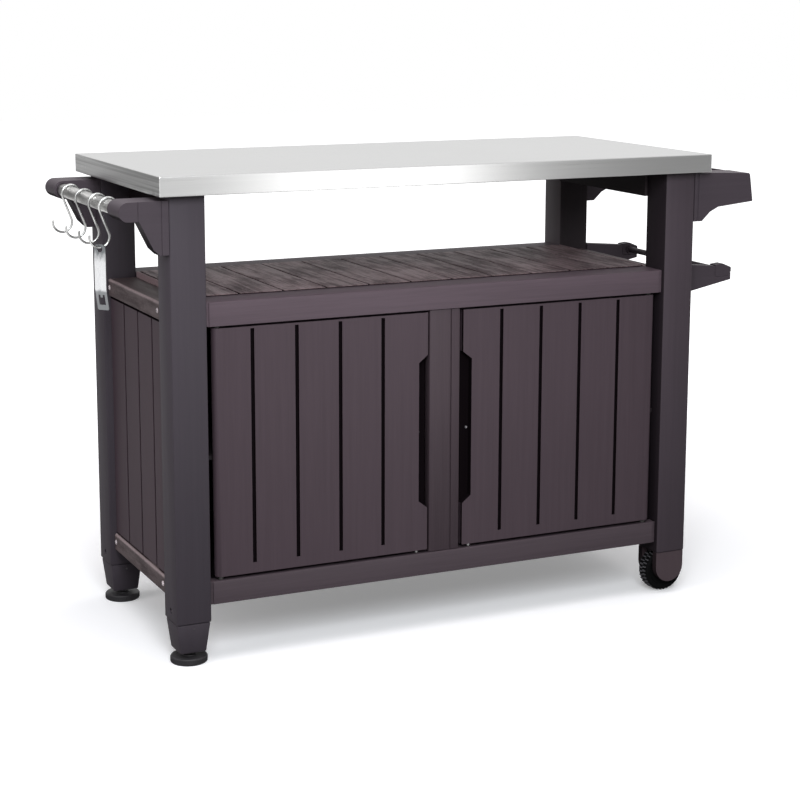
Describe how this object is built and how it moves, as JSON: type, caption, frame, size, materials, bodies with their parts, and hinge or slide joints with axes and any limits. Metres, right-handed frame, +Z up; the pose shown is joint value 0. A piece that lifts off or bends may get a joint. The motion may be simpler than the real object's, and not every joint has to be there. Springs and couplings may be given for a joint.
{
  "type": "portable outdoor table",
  "caption": "Free-standing outdoor prep table: steel worktop, planked deck and two-door cabinet, two wheels and two screw feet, hanging bar with hooks, side rack and roll holder.",
  "frame": {"origin": "centre of the footprint's bounding box, on the floor", "axes": "+X to the right along the doors' side, +Y to the back, +Z up"},
  "size_m": [1.3427, 0.524, 0.9],
  "materials": {
    "brushed_steel": "fine brushed stainless sheet",
    "bright_steel": "bright plain steel",
    "frame_brown": "matt moulded resin, dark grey-brown",
    "plank_brown": "matt moulded resin with faint wood grain",
    "deck_brown": "mottled wood-grain resin",
    "black_plastic": "black moulded plastic",
    "black_tread": "black ribbed wheel tread",
    "pale_board": "plain board"
  },
  "bodies": {
    "frame": {"worktop_sheet": "brushed_steel", "towel_bar": "bright_steel", "wheel_axle_front": "bright_steel", "wheel_axle_back": "bright_steel", "hinge_pin_left_top": "bright_steel", "hinge_pin_left_bottom": "bright_steel", "hinge_pin_right_top": "bright_steel", "hinge_pin_right_bottom": "bright_steel", "door_catch_left": "bright_steel", "door_catch_right": "bright_steel", "leg_front_left": "frame_brown", "leg_front_right": "frame_brown", "leg_back_left": "frame_brown", "leg_back_right": "frame_brown", "foot_socket_front": "frame_brown", "foot_socket_back": "frame_brown", "wheel_fork_front": "frame_brown", "wheel_fork_back": "frame_brown", "top_apron_left": "frame_brown", "top_apron_right": "frame_brown", "handle_bracket_front": "frame_brown", "handle_bracket_back": "frame_brown", "rack_bracket_front": "frame_brown", "rack_bracket_back": "frame_brown", "rack_tray": "frame_brown", "roll_arm_front": "frame_brown", "roll_arm_back": "frame_brown", "upper_rail_front": "plank_brown", "upper_rail_back": "plank_brown", "upper_rail_left": "plank_brown", "upper_rail_right": "plank_brown", "lower_rail_front": "plank_brown", "lower_rail_back": "plank_brown", "lower_rail_left": "plank_brown", "lower_rail_right": "plank_brown", "cabinet_floor": "plank_brown", "inner_shelf": "plank_brown", "side_panel_left": "plank_brown", "side_panel_right": "plank_brown", "back_panel_left": "plank_brown", "back_panel_right": "plank_brown", "centre_stile": "plank_brown", "back_stile": "plank_brown", "deck": "deck_brown", "worktop_core": "pale_board"},
    "door_left": {"door_left": "plank_brown"},
    "door_right": {"door_right": "plank_brown"},
    "wheel_front": {"wheel_front": "black_tread"},
    "wheel_back": {"wheel_back": "black_tread"},
    "foot_front": {"levelling_foot_front": "black_plastic"},
    "foot_back": {"levelling_foot_back": "black_plastic"},
    "hook_1": {"s_hook_1": "bright_steel"},
    "hook_2": {"s_hook_2": "bright_steel"},
    "hook_3": {"s_hook_3": "bright_steel"},
    "hook_4": {"s_hook_4": "bright_steel"},
    "opener": {"bottle_opener": "bright_steel"},
    "roll_rod": {"roll_rod": "frame_brown"}
  },
  "joints": [
    {"name": "door_left_hinge", "type": "hinge", "parent": "frame", "child": "door_left", "pos_m": [-0.46845, -0.221, 0.391], "axis": [0, 0, -1], "range_deg": [0, 110]},
    {"name": "door_right_hinge", "type": "hinge", "parent": "frame", "child": "door_right", "pos_m": [0.44055, -0.221, 0.391], "axis": [0, 0, 1], "range_deg": [0, 110]},
    {"name": "wheel_front_spin", "type": "hinge", "parent": "frame", "child": "wheel_front", "pos_m": [0.49855, -0.205, 0.045], "axis": [0, 1, 0], "continuous": true},
    {"name": "foot_front_screw", "type": "slide", "parent": "frame", "child": "foot_front", "axis": [0, 0, 1], "range_m": [-0.012, 0.004]},
    {"name": "wheel_back_spin", "type": "hinge", "parent": "frame", "child": "wheel_back", "pos_m": [0.49855, 0.205, 0.045], "axis": [0, 1, 0], "continuous": true},
    {"name": "foot_back_screw", "type": "slide", "parent": "frame", "child": "foot_back", "axis": [0, 0, 1], "range_m": [-0.012, 0.004]},
    {"name": "hook_1_swing", "type": "hinge", "parent": "frame", "child": "hook_1", "pos_m": [-0.63345, 0.121, 0.8385], "axis": [0, 1, 0], "range_deg": [-40, 40]},
    {"name": "hook_2_swing", "type": "hinge", "parent": "frame", "child": "hook_2", "pos_m": [-0.63345, 0.03, 0.8385], "axis": [0, 1, 0], "range_deg": [-40, 40]},
    {"name": "hook_3_swing", "type": "hinge", "parent": "frame", "child": "hook_3", "pos_m": [-0.63345, -0.0555, 0.8385], "axis": [0, 1, 0], "range_deg": [-40, 40]},
    {"name": "hook_4_swing", "type": "hinge", "parent": "frame", "child": "hook_4", "pos_m": [-0.63345, -0.122, 0.8385], "axis": [0, 1, 0], "range_deg": [-40, 40]},
    {"name": "opener_swing", "type": "hinge", "parent": "hook_4", "child": "opener", "pos_m": [-0.65095, -0.122, 0.7645], "axis": [1, 0, 0], "range_deg": [-14, 35]},
    {"name": "roll_rod_lift", "type": "slide", "parent": "frame", "child": "roll_rod", "axis": [0, 0, 1], "range_m": [0, 0.08]}
  ]
}
